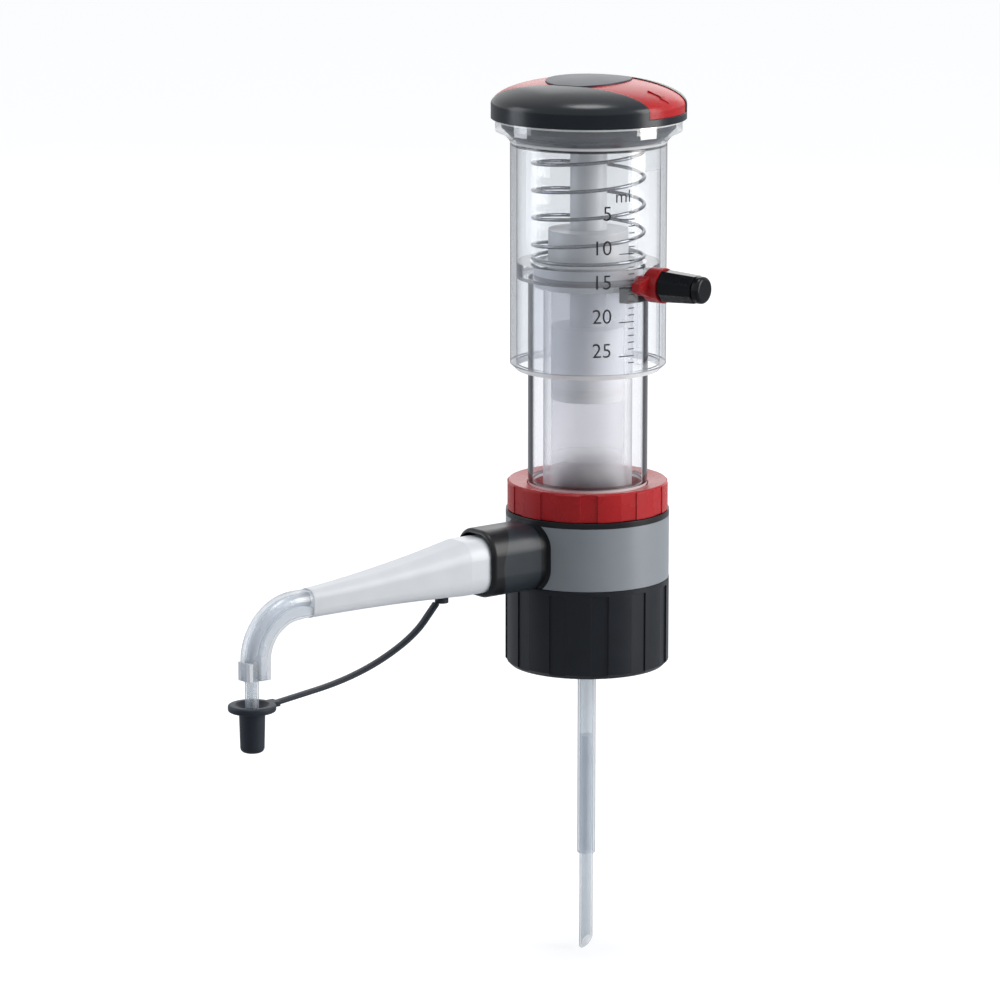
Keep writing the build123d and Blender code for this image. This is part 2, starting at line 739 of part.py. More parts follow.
with BuildPart() as piston_rod:
    tube(rod_d - 2 * seat_gap, 0, piston_z + piston_h / 2 + seat_gap, plate_z)
    tube(rod_flange_d, 0, plate_z - rod_flange_t, plate_z)
save(piston_rod.part, "piston_rod")

# ================================================================ return spring and its cup
spring_z = guide_top + seat_gap
cup_in_r = rod_flange_d / 2 + seat_gap
plug_r = sleeve_in_r - seat_gap
plug_top_r = flange_in_r - seat_gap
with BuildPart() as spring_cup:
    turned([
        (cup_in_r, cup_z),
        (plug_r - plug_wall, cup_z),
        (plug_r - plug_wall, funnel_z - plug_foot),
        (plug_r, funnel_z - plug_foot),
        (plug_r, funnel_z + seat_gap),
        (plug_top_r, flange_z + flange_wall / 2 + seat_gap),
        (plug_top_r, plate_z - seat_gap),
        (plug_top_r - plug_wall, plate_z - seat_gap),
        (plug_top_r - plug_wall, cup_z + spring_cup_t),
        (cup_in_r + cup_wall, cup_z + spring_cup_t),
        (cup_in_r + cup_wall, plate_z),
        (cup_in_r, plate_z),
    ])
save(spring_cup.part, "spring_cup")

coil_h = cup_z - spring_z - spring_wire_d - 2 * seat_gap
with BuildPart() as return_spring:
    with BuildLine():
        coil = Helix(
            pitch=spring_pitch, height=coil_h, radius=spring_mean_d / 2,
            center=(0, 0, spring_z + spring_wire_d / 2),
        )
    with BuildSketch(Plane(origin=coil @ 0, z_dir=coil % 0)):
        Circle(spring_wire_d / 2)
    sweep(is_frenet=True)
save(return_spring.part, "return_spring")

# ================================================================ stroke sleeve
slot_plane = Plane(
    origin=(0, 0, stop_z),
    x_dir=(-sin(radians(slider_azimuth)), cos(radians(slider_azimuth)), 0),
    z_dir=(cos(radians(slider_azimuth)), sin(radians(slider_azimuth)), 0),
)
with BuildPart() as stroke_sleeve:
    with BuildSketch(Plane.XZ):
        with BuildLine():
            Polyline(
                (sleeve_in_r, funnel_z), (sleeve_in_r, sleeve_z), (sleeve_r - sleeve_chamfer, sleeve_z),
                (sleeve_r, sleeve_z + sleeve_chamfer), (sleeve_r, funnel_z),
            )
            RadiusArc((sleeve_r, funnel_z), (flange_r, flange_z), funnel_sweep_r)
            Polyline((flange_r, flange_z), (flange_r, sleeve_top), (flange_in_r, sleeve_top),
                     (flange_in_r, flange_z + flange_wall / 2), (sleeve_in_r, funnel_z))
        make_face()
    revolve(axis=Axis.Z)
    with BuildSketch(slot_plane):
        with Locations((0, (slot_low + slot_high) / 2 - stop_z)):
            RectangleRounded(slot_w, slot_high - slot_low, slot_corner)
    extrude(amount=sleeve_r + cut_over, mode=Mode.SUBTRACT)
save(stroke_sleeve.part, "stroke_sleeve")

# ================================================================ press cap
plate_r = cap_r - skirt_t - seat_gap
window_r = cap_r - moving_gap
sill_z = skirt_z + window_sill
plate_top = plate_z + plate_t
disc_z = dome_top - window_drop - disc_depth
crown_r = cap_r**2 / dome_h
lobe_x = cos(radians(lobe_azimuth))
lobe_y = sin(radians(lobe_azimuth))


def dome(edge_r, foot_z, top_z):
    """Keeps what lies under a half ellipsoid of the part being made."""
    with BuildSketch(Plane.XZ) as profile:
        with BuildLine():
            Polyline((0, top_z), (0, foot_z), (edge_r, foot_z), (edge_r, dome_edge_z))
            EllipticalCenterArc((0, dome_edge_z), edge_r, top_z - dome_edge_z, arc_size=90)
        make_face()
    revolve(profile.sketch, axis=Axis.Z, mode=Mode.INTERSECT)


def window_band(grow, mode):
    """Draws the strip between the lobes in the sketch being made."""
    front = lobe_front - lobe_edge_r
    back = lobe_edge_r - lobe_back
    with BuildSketch(mode=Mode.PRIVATE) as strip:
        with Locations((front * lobe_x, front * lobe_y)):
            Circle(lobe_edge_r + grow)
        with Locations((back * lobe_x, back * lobe_y)):
            Circle(lobe_edge_r + grow, mode=Mode.INTERSECT)
    add(strip.sketch, mode=mode)


with BuildPart() as press_cover:
    with BuildSketch(Plane.XY.offset(sill_z)):
        Circle(cap_r)
        window_band(0, Mode.SUBTRACT)
    extrude(amount=dome_top - sill_z)
    tube(cap_d, cap_d - 2 * skirt_t, skirt_z, sill_z)
    dome(cap_r, skirt_z, dome_top)
    tube(cap_d - 2 * skirt_t, 0, skirt_z, plate_top + seat_gap, mode=Mode.SUBTRACT)
save(press_cover.part, "press_cover")

with BuildPart() as window_wings:
    with BuildSketch(Plane.XY.offset(sill_z + seat_gap)):
        Circle(window_r)
        window_band(-seat_gap, Mode.INTERSECT)
    extrude(amount=dome_top - sill_z)
    dome(window_r, sill_z, dome_top - window_drop)

with BuildPart() as press_plate:
    tube(2 * plate_r, 0, plate_z, plate_top)
    add(window_wings.part)
    with BuildSketch(Plane.XY.offset(disc_z)):
        Ellipse(disc_l / 2 + seat_gap, disc_w / 2 + seat_gap, rotation=lobe_azimuth)
    extrude(amount=dome_h, mode=Mode.SUBTRACT)
save(press_plate.part, "press_plate")

with BuildPart() as centre_disc:
    with BuildSketch(Plane.XY.offset(disc_z + seat_gap)):
        Ellipse(disc_l / 2, disc_w / 2, rotation=lobe_azimuth)
        window_band(-seat_gap, Mode.INTERSECT)
    extrude(amount=dome_h)
    with Locations((0, 0, dome_top - crown_r)):
        Sphere(crown_r, mode=Mode.INTERSECT)
save(centre_disc.part, "centre_disc")

# ================================================================ volume slider and knob
pointer_in_r = sleeve_r + moving_gap
block_out_r = sleeve_in_r - moving_gap
block_top = stop_z - stop_gap
screw_reach = sleeve_in_r + 2 * moving_gap
with BuildPart() as slider_neck:
    with BuildSketch(slot_plane):
        RectangleRounded(slot_w - 2 * moving_gap, neck_h, slot_corner - moving_gap)
    extrude(amount=pointer_in_r + pointer_t / 2)
    tube(2 * (sleeve_in_r + moving_gap), 0, block_top - seat_gap, stop_z + neck_h, mode=Mode.SUBTRACT)
    tube(2 * (block_out_r + seat_gap), 0, stop_z - neck_h, stop_z + neck_h, mode=Mode.SUBTRACT)

with BuildPart() as slider_hub:
    with BuildSketch(slot_plane):
        Circle(hub_d / 2)
    extrude(amount=hub_reach)
    tube(2 * pointer_in_r, 0, stop_z - hub_d, stop_z + hub_d, mode=Mode.SUBTRACT)

with BuildPart() as volume_slider:
    with BuildSketch(slot_plane):
        with BuildLine():
            Polyline(
                (-pointer_reach, -pointer_tip_h / 2), (0, -pointer_h / 2), (pointer_back, 0),
                (0, pointer_h / 2), (-pointer_reach, pointer_tip_h / 2),
                close=True,
            )
        make_face()
    extrude(amount=hub_reach)
    tube(2 * (pointer_in_r + pointer_t), 2 * pointer_in_r, stop_z - hub_d, stop_z + hub_d,
         mode=Mode.INTERSECT)
    add(slider_hub.part)
    add(slider_neck.part)
    with BuildSketch(slot_plane.offset(screw_reach)):
        Circle(clamp_screw_d / 2 + running_gap)
    extrude(amount=hub_reach, mode=Mode.SUBTRACT)
save(volume_slider.part, "volume_slider")

with BuildPart() as stop_block:
    with BuildSketch(slot_plane):
        with Locations((0, -stop_gap - block_h / 2)):
            Rectangle(block_w, block_h)
    extrude(amount=sleeve_r)
    tube(2 * block_out_r, 2 * (guide_r + moving_gap), block_top - block_h, block_top, mode=Mode.INTERSECT)
save(stop_block.part, "stop_block")

with BuildPart() as clamp_screw:
    with BuildSketch(slot_plane.offset(screw_reach + moving_gap)):
        Circle(clamp_screw_d / 2)
    extrude(amount=hub_reach + screw_in_knob - screw_reach - moving_gap)
save(clamp_screw.part, "clamp_screw")

knob_root = hub_reach + turn_gap
knob_neck = knob_reach - knob_cap_l
with BuildPart() as volume_knob:
    for reach, across in ((knob_root, knob_d), (knob_neck, knob_end_d)):
        with BuildSketch(slot_plane.offset(reach)):
            RegularPolygon(across / 2, knob_facets, rotation=180 / knob_facets)
    loft()
    with BuildSketch(slot_plane.offset(knob_neck)):
        Circle(knob_cap_d / 2 - knob_groove_depth)
    extrude(amount=knob_groove_w)
    with BuildSketch(slot_plane.offset(knob_neck + knob_groove_w)):
        Circle(knob_cap_d / 2)
    extrude(amount=knob_cap_l - knob_groove_w)
    knob_end = volume_knob.faces().sort_by(Axis(slot_plane.origin, slot_plane.z_dir))[-1]
    fillet(knob_end.edges(), radius=knob_cap_round)
    with BuildSketch(slot_plane.offset(knob_root)):
        Circle(clamp_screw_d / 2 + seat_gap)
    extrude(amount=screw_in_knob - turn_gap + seat_gap, mode=Mode.SUBTRACT)
save(volume_knob.part, "volume_knob")
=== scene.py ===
import math

import bmesh
import bpy
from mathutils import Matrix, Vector


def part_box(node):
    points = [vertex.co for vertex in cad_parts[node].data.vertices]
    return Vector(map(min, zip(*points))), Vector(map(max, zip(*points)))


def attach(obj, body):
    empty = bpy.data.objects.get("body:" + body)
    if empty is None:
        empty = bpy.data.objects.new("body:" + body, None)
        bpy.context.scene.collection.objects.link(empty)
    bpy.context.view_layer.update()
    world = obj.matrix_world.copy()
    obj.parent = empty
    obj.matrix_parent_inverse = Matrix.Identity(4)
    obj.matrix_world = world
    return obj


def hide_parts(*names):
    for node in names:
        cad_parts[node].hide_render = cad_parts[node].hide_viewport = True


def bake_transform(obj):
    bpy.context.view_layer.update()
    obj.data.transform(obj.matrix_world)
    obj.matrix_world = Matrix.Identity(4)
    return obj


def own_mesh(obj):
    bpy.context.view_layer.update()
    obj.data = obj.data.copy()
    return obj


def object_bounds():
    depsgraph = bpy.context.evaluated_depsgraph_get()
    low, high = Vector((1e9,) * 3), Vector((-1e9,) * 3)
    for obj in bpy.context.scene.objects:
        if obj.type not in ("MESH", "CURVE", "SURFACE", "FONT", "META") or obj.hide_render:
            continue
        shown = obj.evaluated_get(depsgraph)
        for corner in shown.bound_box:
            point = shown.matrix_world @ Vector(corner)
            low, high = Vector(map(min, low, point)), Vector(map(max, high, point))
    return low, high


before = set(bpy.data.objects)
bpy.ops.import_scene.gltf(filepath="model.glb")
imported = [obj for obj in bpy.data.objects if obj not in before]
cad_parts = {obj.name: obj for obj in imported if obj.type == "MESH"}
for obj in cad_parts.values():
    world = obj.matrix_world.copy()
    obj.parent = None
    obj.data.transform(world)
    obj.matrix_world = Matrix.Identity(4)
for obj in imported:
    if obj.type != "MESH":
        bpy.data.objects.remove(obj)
cad_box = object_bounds()

MM = 0.001
BOTTOM = 0                     # the lower of the two corners of a box

# ---------------------------------------------------------------- camera
FRAME_PX = 1000
FOCAL_PX = 5000
SENSOR_MM = 36.0
CAMERA_TARGET = Vector((-22.5, 17.6, 30.1)) * MM
CAMERA_DISTANCE = 1634 * MM
CAMERA_TURN = math.radians(38)
CAMERA_PITCH = math.radians(11.8)

towards_camera = Vector((
    -math.sin(CAMERA_TURN) * math.cos(CAMERA_PITCH),
    -math.cos(CAMERA_TURN) * math.cos(CAMERA_PITCH),
    math.sin(CAMERA_PITCH),
))
camera_data = bpy.data.cameras.new("camera")
camera_data.sensor_width = SENSOR_MM
camera_data.lens = SENSOR_MM * FOCAL_PX / FRAME_PX
camera_data.clip_end = 50
camera = bpy.data.objects.new("camera", camera_data)
bpy.context.collection.objects.link(camera)
camera.location = CAMERA_TARGET + CAMERA_DISTANCE * towards_camera
camera.rotation_mode = "QUATERNION"
camera.rotation_quaternion = (-towards_camera).to_track_quat("-Z", "Y")
bpy.context.scene.camera = camera


# ---------------------------------------------------------------- materials
SRGB_KNEE, SRGB_SLOPE, SRGB_LIFT, SRGB_POWER = 0.04045, 12.92, 0.055, 2.4


def linear(hex_colour):
    """Linear RGBA of an sRGB hex colour."""
    rgba = []
    for i in (1, 3, 5):
        share = int(hex_colour[i:i + 2], 16) / 255
        if share <= SRGB_KNEE:
            rgba.append(share / SRGB_SLOPE)
        else:
            rgba.append(((share + SRGB_LIFT) / (1 + SRGB_LIFT)) ** SRGB_POWER)
    return (*rgba, 1.0)


def add(tree, kind, values=None, links=None, **settings):
    """Adds a node with its settings, its sockets' values and the links into it."""
    made = tree.nodes.new(kind)
    for key, value in settings.items():
        setattr(made, key, value)
    for key, value in (values or {}).items():
        made.inputs[key].default_value = value
    for key, socket in (links or {}).items():
        tree.links.new(socket, made.inputs[key])
    return made


def empty_material(name):
    """A material without nodes, its tree and its object-space place."""
    material = bpy.data.materials.new(name)
    material.use_nodes = True
    tree = material.node_tree
    tree.nodes.clear()
    return material, tree, add(tree, "ShaderNodeTexCoord").outputs["Object"]


MIX_A, MIX_B, MIX_OUT = 6, 7, 2    # sockets of a mix of colours
LEVEL_MASK, LEVEL_A, LEVEL_B = 0, 2, 3    # sockets of a mix of numbers
FLOW_MM = 9.0                  # flow marks of a moulding, a few wall thicknesses long
GRAIN_DETAIL = 2.0
FLOW_DETAIL = 3.0

def moulded(name, colour, worn, roughness, ior, grain_mm, grain_depth, edge_mm=0.25, gloss=0.5,
            spread=0.05, zones=None):
    """Injection-moulded plastic: fine tool grain, slow flow marks and softly rounded edges."""
    material, tree, place = empty_material(name)
    grain = add(tree, "ShaderNodeTexNoise",
                {"Scale": 1 / (grain_mm * MM), "Detail": GRAIN_DETAIL}, {"Vector": place})
    flow = add(tree, "ShaderNodeTexNoise",
               {"Scale": 1 / (FLOW_MM * MM), "Detail": FLOW_DETAIL}, {"Vector": place})
    tone = add(tree, "ShaderNodeMix", {MIX_A: linear(colour), MIX_B: linear(worn)},
               {"Factor": flow.outputs["Fac"]}, data_type="RGBA").outputs[MIX_OUT]
    if zones:
        tone = zones(tree, place, tone)
    matt = add(tree, "ShaderNodeMapRange",
               {"To Min": roughness - spread, "To Max": roughness + spread},
               {"Value": flow.outputs["Fac"]})
    edges = add(tree, "ShaderNodeBevel", {"Radius": edge_mm * MM}, samples=4)
    bump = add(tree, "ShaderNodeBump", {"Strength": 1.0, "Distance": grain_depth * MM},
               {"Height": grain.outputs["Fac"], "Normal": edges.outputs["Normal"]})
    shader = add(tree, "ShaderNodeBsdfPrincipled", {"IOR": ior, "Specular IOR Level": gloss}, {
        "Base Color": tone, "Roughness": matt.outputs["Result"],
        "Normal": bump.outputs["Normal"]})
    add(tree, "ShaderNodeOutputMaterial", links={"Surface": shader.outputs["BSDF"]})
    return material


def layer(tree, mask, share, colour, solid, tone):
    """Lays a tone of its own solidity over what a clear wall shows, where the mask is 1."""
    solid = add(tree, "ShaderNodeMix", {LEVEL_B: share},
                {LEVEL_MASK: mask, LEVEL_A: solid}).outputs[0]
    tone = add(tree, "ShaderNodeMix", {MIX_B: linear(colour)}, {"Factor": mask, MIX_A: tone},
               data_type="RGBA").outputs[MIX_OUT]
    return solid, tone


def ramp(tree, value, start, full):
    """0 before a value and 1 after another, with a smooth change."""
    return add(tree, "ShaderNodeMapRange", {"From Min": start, "From Max": full}, {"Value": value},
               interpolation_type="SMOOTHSTEP").outputs["Result"]


def from_axis(tree, place):
    """Distance from the bottle's axis."""
    level = add(tree, "ShaderNodeVectorMath", {1: (1, 1, 0)}, {0: place}, operation="MULTIPLY")
    return add(tree, "ShaderNodeVectorMath", links={0: level.outputs[0]},
               operation="LENGTH").outputs["Value"]


def both(tree, *masks):
    """Product of masks."""
    product = masks[0]
    for mask in masks[1:]:
        product = add(tree, "ShaderNodeMath", links={0: product, 1: mask},
                      operation="MULTIPLY").outputs[0]
    return product


CLEAR_IOR = 1.49
FRESNEL_POWER = 5.0            # Schlick's rule for what a clear surface mirrors
FACE_ON_MIRROR = 0.04          # share that plastic of index 1.49 mirrors face on
EDGE_MIRROR = 0.25             # share that is added along the outline
POLISHED_MIRROR = 0.09         # share that a polished zone adds
LIGHT_THROUGH = 0.9            # share of the lamps' light that a clear wall lets through unshaded
HAZE_SPREAD = 0.15             # how unevenly a clear wall is hazy
POLISH_SPREAD = 0.3            # how unevenly it is polished
OUTSIDE_SOFT_MM = 0.4
POLISH_SOFT_MM = 0.3
SKIN_GLOSS = 0.15


def see_through(name, tint, tones, haze, haze_and_shade_bands, roughness, gloss=1.0, outside_mm=0.0,
                zones=None, polish_from=None):
    """Clear plastic or glass: a haze face on, bands of haze and painted shade where the wall turns
    away, a polish.

    Each of the bands: facing where it starts, facing where it is full, its solidity, its colour
    and whether the inner faces have it too. The grey and dark colours are painted shade.
    """
    material, tree, place = empty_material(name)
    facing = add(tree, "ShaderNodeLayerWeight", {"Blend": 0.5}).outputs["Facing"]
    flow = add(tree, "ShaderNodeTexNoise", {"Scale": 1 / (FLOW_MM * MM), "Detail": 2.0},
               {"Vector": place}).outputs["Fac"]
    tone = add(tree, "ShaderNodeMix", {MIX_A: linear(tones[0]), MIX_B: linear(tones[1])},
               {"Factor": flow}, data_type="RGBA").outputs[MIX_OUT]
    solid = add(tree, "ShaderNodeMapRange",
                {"To Min": (1 - HAZE_SPREAD) * haze, "To Max": (1 + HAZE_SPREAD) * haze},
                {"Value": flow}).outputs["Result"]
    outside = ramp(tree, from_axis(tree, place),
                   (outside_mm - OUTSIDE_SOFT_MM) * MM, outside_mm * MM)
    # Bands where the wall turns away: partly haze, their grey and dark colours painted shade.
    for start, full, share, colour, everywhere in haze_and_shade_bands:
        turned_away = ramp(tree, facing, start, full)
        mask = turned_away if everywhere else both(tree, turned_away, outside)
        solid, tone = layer(tree, mask, share, colour, solid, tone)
    if zones:
        solid, tone = zones(tree, place, facing, solid, tone)
    matt = add(tree, "ShaderNodeMapRange", {
        "To Min": (1 - POLISH_SPREAD) * roughness, "To Max": (1 + POLISH_SPREAD) * roughness},
               {"Value": flow})
    window = add(tree, "ShaderNodeBsdfTransparent", {"Color": linear(tint)})
    skin = add(tree, "ShaderNodeBsdfPrincipled",
               {"IOR": CLEAR_IOR, "Specular IOR Level": SKIN_GLOSS},
               {"Base Color": tone, "Roughness": matt.outputs["Result"]})
    body = add(tree, "ShaderNodeMixShader", links={
        0: solid, 1: window.outputs["BSDF"], 2: skin.outputs["BSDF"]})
    steep = add(tree, "ShaderNodeMath", {1: FRESNEL_POWER}, {0: facing}, operation="POWER")
    mirror = add(tree, "ShaderNodeMath", {1: EDGE_MIRROR, 2: FACE_ON_MIRROR * gloss},
                 {0: steep.outputs[0]}, operation="MULTIPLY_ADD").outputs[0]
    if polish_from:
        polished = ramp(tree, axes_of(tree, place)["Z"],
                        (polish_from - POLISH_SOFT_MM) * MM, polish_from * MM)
        mirror = add(tree, "ShaderNodeMath", {1: POLISHED_MIRROR}, {0: polished, 2: mirror},
                     operation="MULTIPLY_ADD").outputs[0]
    shine = add(tree, "ShaderNodeBsdfGlossy", {"Color": linear("#FFFFFF")},
                {"Roughness": matt.outputs["Result"]})
    surface = add(tree, "ShaderNodeMixShader", links={
        0: mirror, 1: body.outputs["Shader"], 2: shine.outputs["BSDF"]})
    path = add(tree, "ShaderNodeLightPath")
    lit_through = add(tree, "ShaderNodeMath", {1: LIGHT_THROUGH},
                      {0: path.outputs["Is Shadow Ray"]}, operation="MULTIPLY")
    clear = add(tree, "ShaderNodeMixShader", links={
        0: lit_through.outputs[0], 1: surface.outputs["Shader"], 2: window.outputs["BSDF"]})
    add(tree, "ShaderNodeOutputMaterial", links={"Surface": clear.outputs["Shader"]})
    return material


def axes_of(tree, place):
    """X, Y and Z of a place."""
    return add(tree, "ShaderNodeSeparateXYZ", links={"Vector": place}).outputs


def belt(tree, height, low_mm, high_mm, soft_mm):
    """1 between two heights."""
    over = ramp(tree, height, (low_mm - soft_mm) * MM, low_mm * MM)
    under = ramp(tree, height, (high_mm + soft_mm) * MM, high_mm * MM)
    return both(tree, over, under)


HOOD_ROOT_MM = (-27.2, -26.9)  # where the hood's border on the block starts and is full
HOOD_MIDDLE_MM = 14.0
HOOD_BOW = -34.0               # curvature of the rim's edge, per metre
HOOD_RIM_MM = (-41.9, -42.4)


def hood_zones(tree, place, tone):
    """The satin charcoal panels of the hood, between its border on the block and its black rim."""
    axes = axes_of(tree, place)
    block = ramp(tree, axes["X"], *[x * MM for x in HOOD_ROOT_MM])
    from_middle = add(tree, "ShaderNodeMath", {1: HOOD_MIDDLE_MM * MM}, {0: axes["Z"]},
                      operation="SUBTRACT")
    bow = add(tree, "ShaderNodeMath", {1: 2}, {0: from_middle.outputs[0]}, operation="POWER")
    reach = add(tree, "ShaderNodeMath", {1: HOOD_BOW}, {0: bow.outputs[0], 2: axes["X"]},
                operation="MULTIPLY_ADD")
    rim = ramp(tree, reach.outputs[0], *[x * MM for x in HOOD_RIM_MM])
    black = add(tree, "ShaderNodeMath", links={0: block, 1: rim}, operation="MAXIMUM")
    return add(tree, "ShaderNodeMix", {MIX_B: linear("#0C0E12")},
               {"Factor": black.outputs[0], MIX_A: tone}, data_type="RGBA").outputs[MIX_OUT]


FLOOR_SHADE_MM = (47.0, 35.0)   # heights where the painted shade over the cylinder's floor starts and is full
FLOOR_SHADE_FACING = (0.62, 0.12)


def cylinder_zones(tree, place, facing, solid, tone):
    """Painted shade: the ground glass darkens over the cylinder's floor, most where it is seen
    face on.
    """
    low = ramp(tree, axes_of(tree, place)["Z"], *[z * MM for z in FLOOR_SHADE_MM])
    middle = ramp(tree, facing, *FLOOR_SHADE_FACING)
    return layer(tree, both(tree, low, middle), 0.92, "#4A4E55", solid, tone)


# Level belts of painted highlight and painted shade: lower and upper height and softness in mm,
# solidity and colour.
GUIDE_PAINTED_LIGHT_BELTS = (
    (36.2, 36.9, 0.1, 0.95, "#F8F8FA"),      # painted highlight: a bright bead where the tube stands in the ring
    (37.1, 37.6, 0.2, 0.6, "#2A2026"),       # painted shade: a dark line over the bead
    (103.9, 104.9, 0.5, 0.6, "#55565F"),     # painted shade along the lower edge of the tube's flange
)
SLEEVE_PAINTED_LIGHT_BELTS = (
    (155.1, 155.8, 0.1, 0.95, "#FFFFFF"),    # painted highlight: a bright lip under the cap
    (148.3, 148.9, 0.2, 0.8, "#F6F7F9"),     # painted highlight along the rim of the flange
    (147.4, 147.9, 0.15, 0.75, "#24262C"),   # painted shade: a dark line under it
)
# Painted highlight on the chamfer at the sleeve's foot, and painted shade along its lower edge
# where the wall turns away.
CHAMFER_HIGHLIGHT_BELT = (73.9, 75.5, 0.2, 0.7, "#FBFBFC")
FLANGE_FROM_MM = (149.2, 149.8)
LOWER_EDGE_SHADE_MM = (75.9, 76.2, 0.15)
LOWER_EDGE_SHADE_FACING = (0.1, 0.5)


def guide_zones(tree, place, facing, solid, tone):
    """Painted highlight on a bead where the tube stands in the ring, painted shade over it and
    along its flange's lower edge.
    """
    height = axes_of(tree, place)["Z"]
    for low, high, soft, share, colour in GUIDE_PAINTED_LIGHT_BELTS:
        solid, tone = layer(tree, belt(tree, height, low, high, soft), share, colour, solid, tone)
    return solid, tone


def sleeve_zones(tree, place, facing, solid, tone):
    """A grey flange with painted highlights on its lips and painted shade under them, and painted
    shade and a painted highlight at the foot.
    """
    height = axes_of(tree, place)["Z"]
    flange = ramp(tree, height, *[z * MM for z in FLANGE_FROM_MM])
    solid, tone = layer(tree, flange, 0.2, "#8A8F97", solid, tone)
    for low, high, soft, share, colour in SLEEVE_PAINTED_LIGHT_BELTS:
        solid, tone = layer(tree, belt(tree, height, low, high, soft), share, colour, solid, tone)
    # Painted shade along the lower edge where the wall turns away, and a painted highlight on the
    # chamfer.
    edge = belt(tree, height, *LOWER_EDGE_SHADE_MM)
    turned = ramp(tree, facing, *LOWER_EDGE_SHADE_FACING)
    solid, tone = layer(tree, both(tree, edge, turned), 0.9, "#4A4C55", solid, tone)
    low, high, soft, share, colour = CHAMFER_HIGHLIGHT_BELT
    return layer(tree, belt(tree, height, low, high, soft), share, colour, solid, tone)


# Polypropylene, moulded in a spark-eroded tool: a near black with a cool satin sheen.
collar_black = moulded(
    "polypropylene_black", "#13171D", "#1A1F27", 0.38, 1.49, 0.35, 0.006, gloss=0.25)
# ABS, moulded and polished: deep blue-black lobes with clear soft highlights.
lobe_black = moulded("abs_blue_black", "#10161C", "#18212A", 0.24, 1.54, 0.6, 0.002, 0.4, 0.3)
# ABS, moulded satin: the knob's facets catch narrow grey highlights.
knob_black = moulded("abs_knob_black", "#0E1014", "#15181D", 0.18, 1.54, 0.5, 0.001, 0.3, 0.16)
# Glass-filled polypropylene, moulded: the hood's charcoal with a brushed-looking satin.
hood_charcoal = moulded(
    "polypropylene_charcoal", "#23292F", "#2E363D", 0.33, 1.49, 0.8, 0.004, 0.3, 0.3,
    zones=hood_zones)
# ABS, moulded fine matt: the cap's centre disc, a grey that lifts under the top light.
disc_grey = moulded("abs_graphite", "#2A2E39", "#333845", 0.42, 1.54, 0.3, 0.003, 0.3, 0.3)
# ABS, moulded: the plug and the stop block inside the sleeve.
inner_grey = moulded("abs_dark_grey", "#20242A", "#292E35", 0.32, 1.54, 0.4, 0.003, 0.3, 0.3)
# Polypropylene, moulded satin: the cool grey cover of the valve block.
cover_grey = moulded(
    "polypropylene_pale_grey", "#848B93", "#8C939A", 0.3, 1.49, 0.4, 0.002, 0.2, 0.8, 0.02)
# ABS, moulded and polished: signal red of the ring, plate and pointer.
signal_red = moulded("abs_signal_red", "#AC1C21", "#BA2429", 0.27, 1.54, 0.5, 0.002, 0.3, 0.2)
# ABS, moulded: pale grey of the cylinder head and the rod.
head_grey = moulded("abs_pale_grey", "#E2E4E7", "#E9EAED", 0.35, 1.54, 0.4, 0.003, 0.2)
# Natural polypropylene, moulded: the milky spout, satin, with a cool white.
spout_white = moulded(
    "polypropylene_natural", "#D6DAE0", "#E2E6EB", 0.3, 1.49, 0.6, 0.002, 0.4, 0.45)
# PTFE, turned: the dead white of wetted parts, with a waxy sheen.
ptfe_white = moulded("ptfe_turned", "#E4E5E4", "#ECECEA", 0.36, 1.35, 0.3, 0.003, 0.15)
# Piston sleeve of PFA on steel: a soft grey-white.
piston_white = moulded("pfa_grey_white", "#EEEFF0", "#F3F3F4", 0.3, 1.35, 0.4, 0.002, 0.15)
# Thermoplastic elastomer, moulded: the cap, strap and seals, a blue-black that drinks light.
elastomer = moulded("elastomer_blue_black", "#1C222B", "#252C37", 0.48, 1.5, 0.3, 0.006, 0.3, 0.25)
# Aluminium oxide ceramic, lapped: the valve balls.
lapped_ceramic = moulded("alumina_lapped", "#EAEAE6", "#F0F0EC", 0.12, 1.76, 0.2, 0.0005, 0.05)
# Printing ink, cured: flat black lines of the scale.
scale_ink = moulded("ink_cured_black", "#15171B", "#1D2025", 0.5, 1.5, 0.2, 0.002, 0.02, 0.3)

# Polymethylpentene, moulded clear: the sleeve, pale haze with a thin dark line of painted shade
# along its bore.
sleeve_clear = see_through(
    "polymethylpentene_clear", "#FCFDFE", ("#E6E8EC", "#EFF0F3"), 0.09,
    ((0.42, 0.66, 0.42, "#B4B7BE", False), (0.80, 0.92, 0.85, "#5E5E66", True)),
    0.05, 0.9, 24.6, sleeve_zones, 149.8)
# Acrylic tube, drawn and polished: clearer than the sleeve, with dark edges of painted shade as
# wide as its wall.
guide_clear = see_through(
    "acrylic_drawn_tube", "#FDFDFE", ("#EEF0F3", "#F4F5F7"), 0.03,
    ((0.54, 0.64, 0.97, "#2A2A33", False),), 0.03, 1.0, 19.0, guide_zones)
# Borosilicate glass, ground outside: a milky veil over the piston, with painted shade over its
# floor and at its edges.
cylinder_glass = see_through(
    "borosilicate_ground", "#FBFBFC", ("#F4F5F7", "#FAFAFB"), 0.20,
    ((0.45, 0.9, 0.6, "#B9BCC2", False),), 0.4, 0.5, 13.5, cylinder_zones)
# FEP, extruded: the outlet and filling tubes, waxy and slightly milky, greyer at the edges, partly
# haze and partly painted shade.
tube_fep = see_through(
    "fep_extruded", "#F7F9FB", ("#DDE1E6", "#E6E9ED"), 0.25,
    ((0.35, 0.85, 0.7, "#9CA2AA", True),), 0.12)

# Natural polypropylene, thin and milky: the spout's bend, with the tube seen inside it, greyer at
# the edges, partly haze and partly painted shade.
bend_milky = see_through(
    "polypropylene_milky", "#F6F8FA", ("#DADEE4", "#E6E9EE"), 0.3,
    ((0.45, 0.9, 0.7, "#A9AFB7", True),), 0.16, 1.0)

STEEL_DRAW_MM = 0.3            # real draw marks are finer; this is the finest that shows


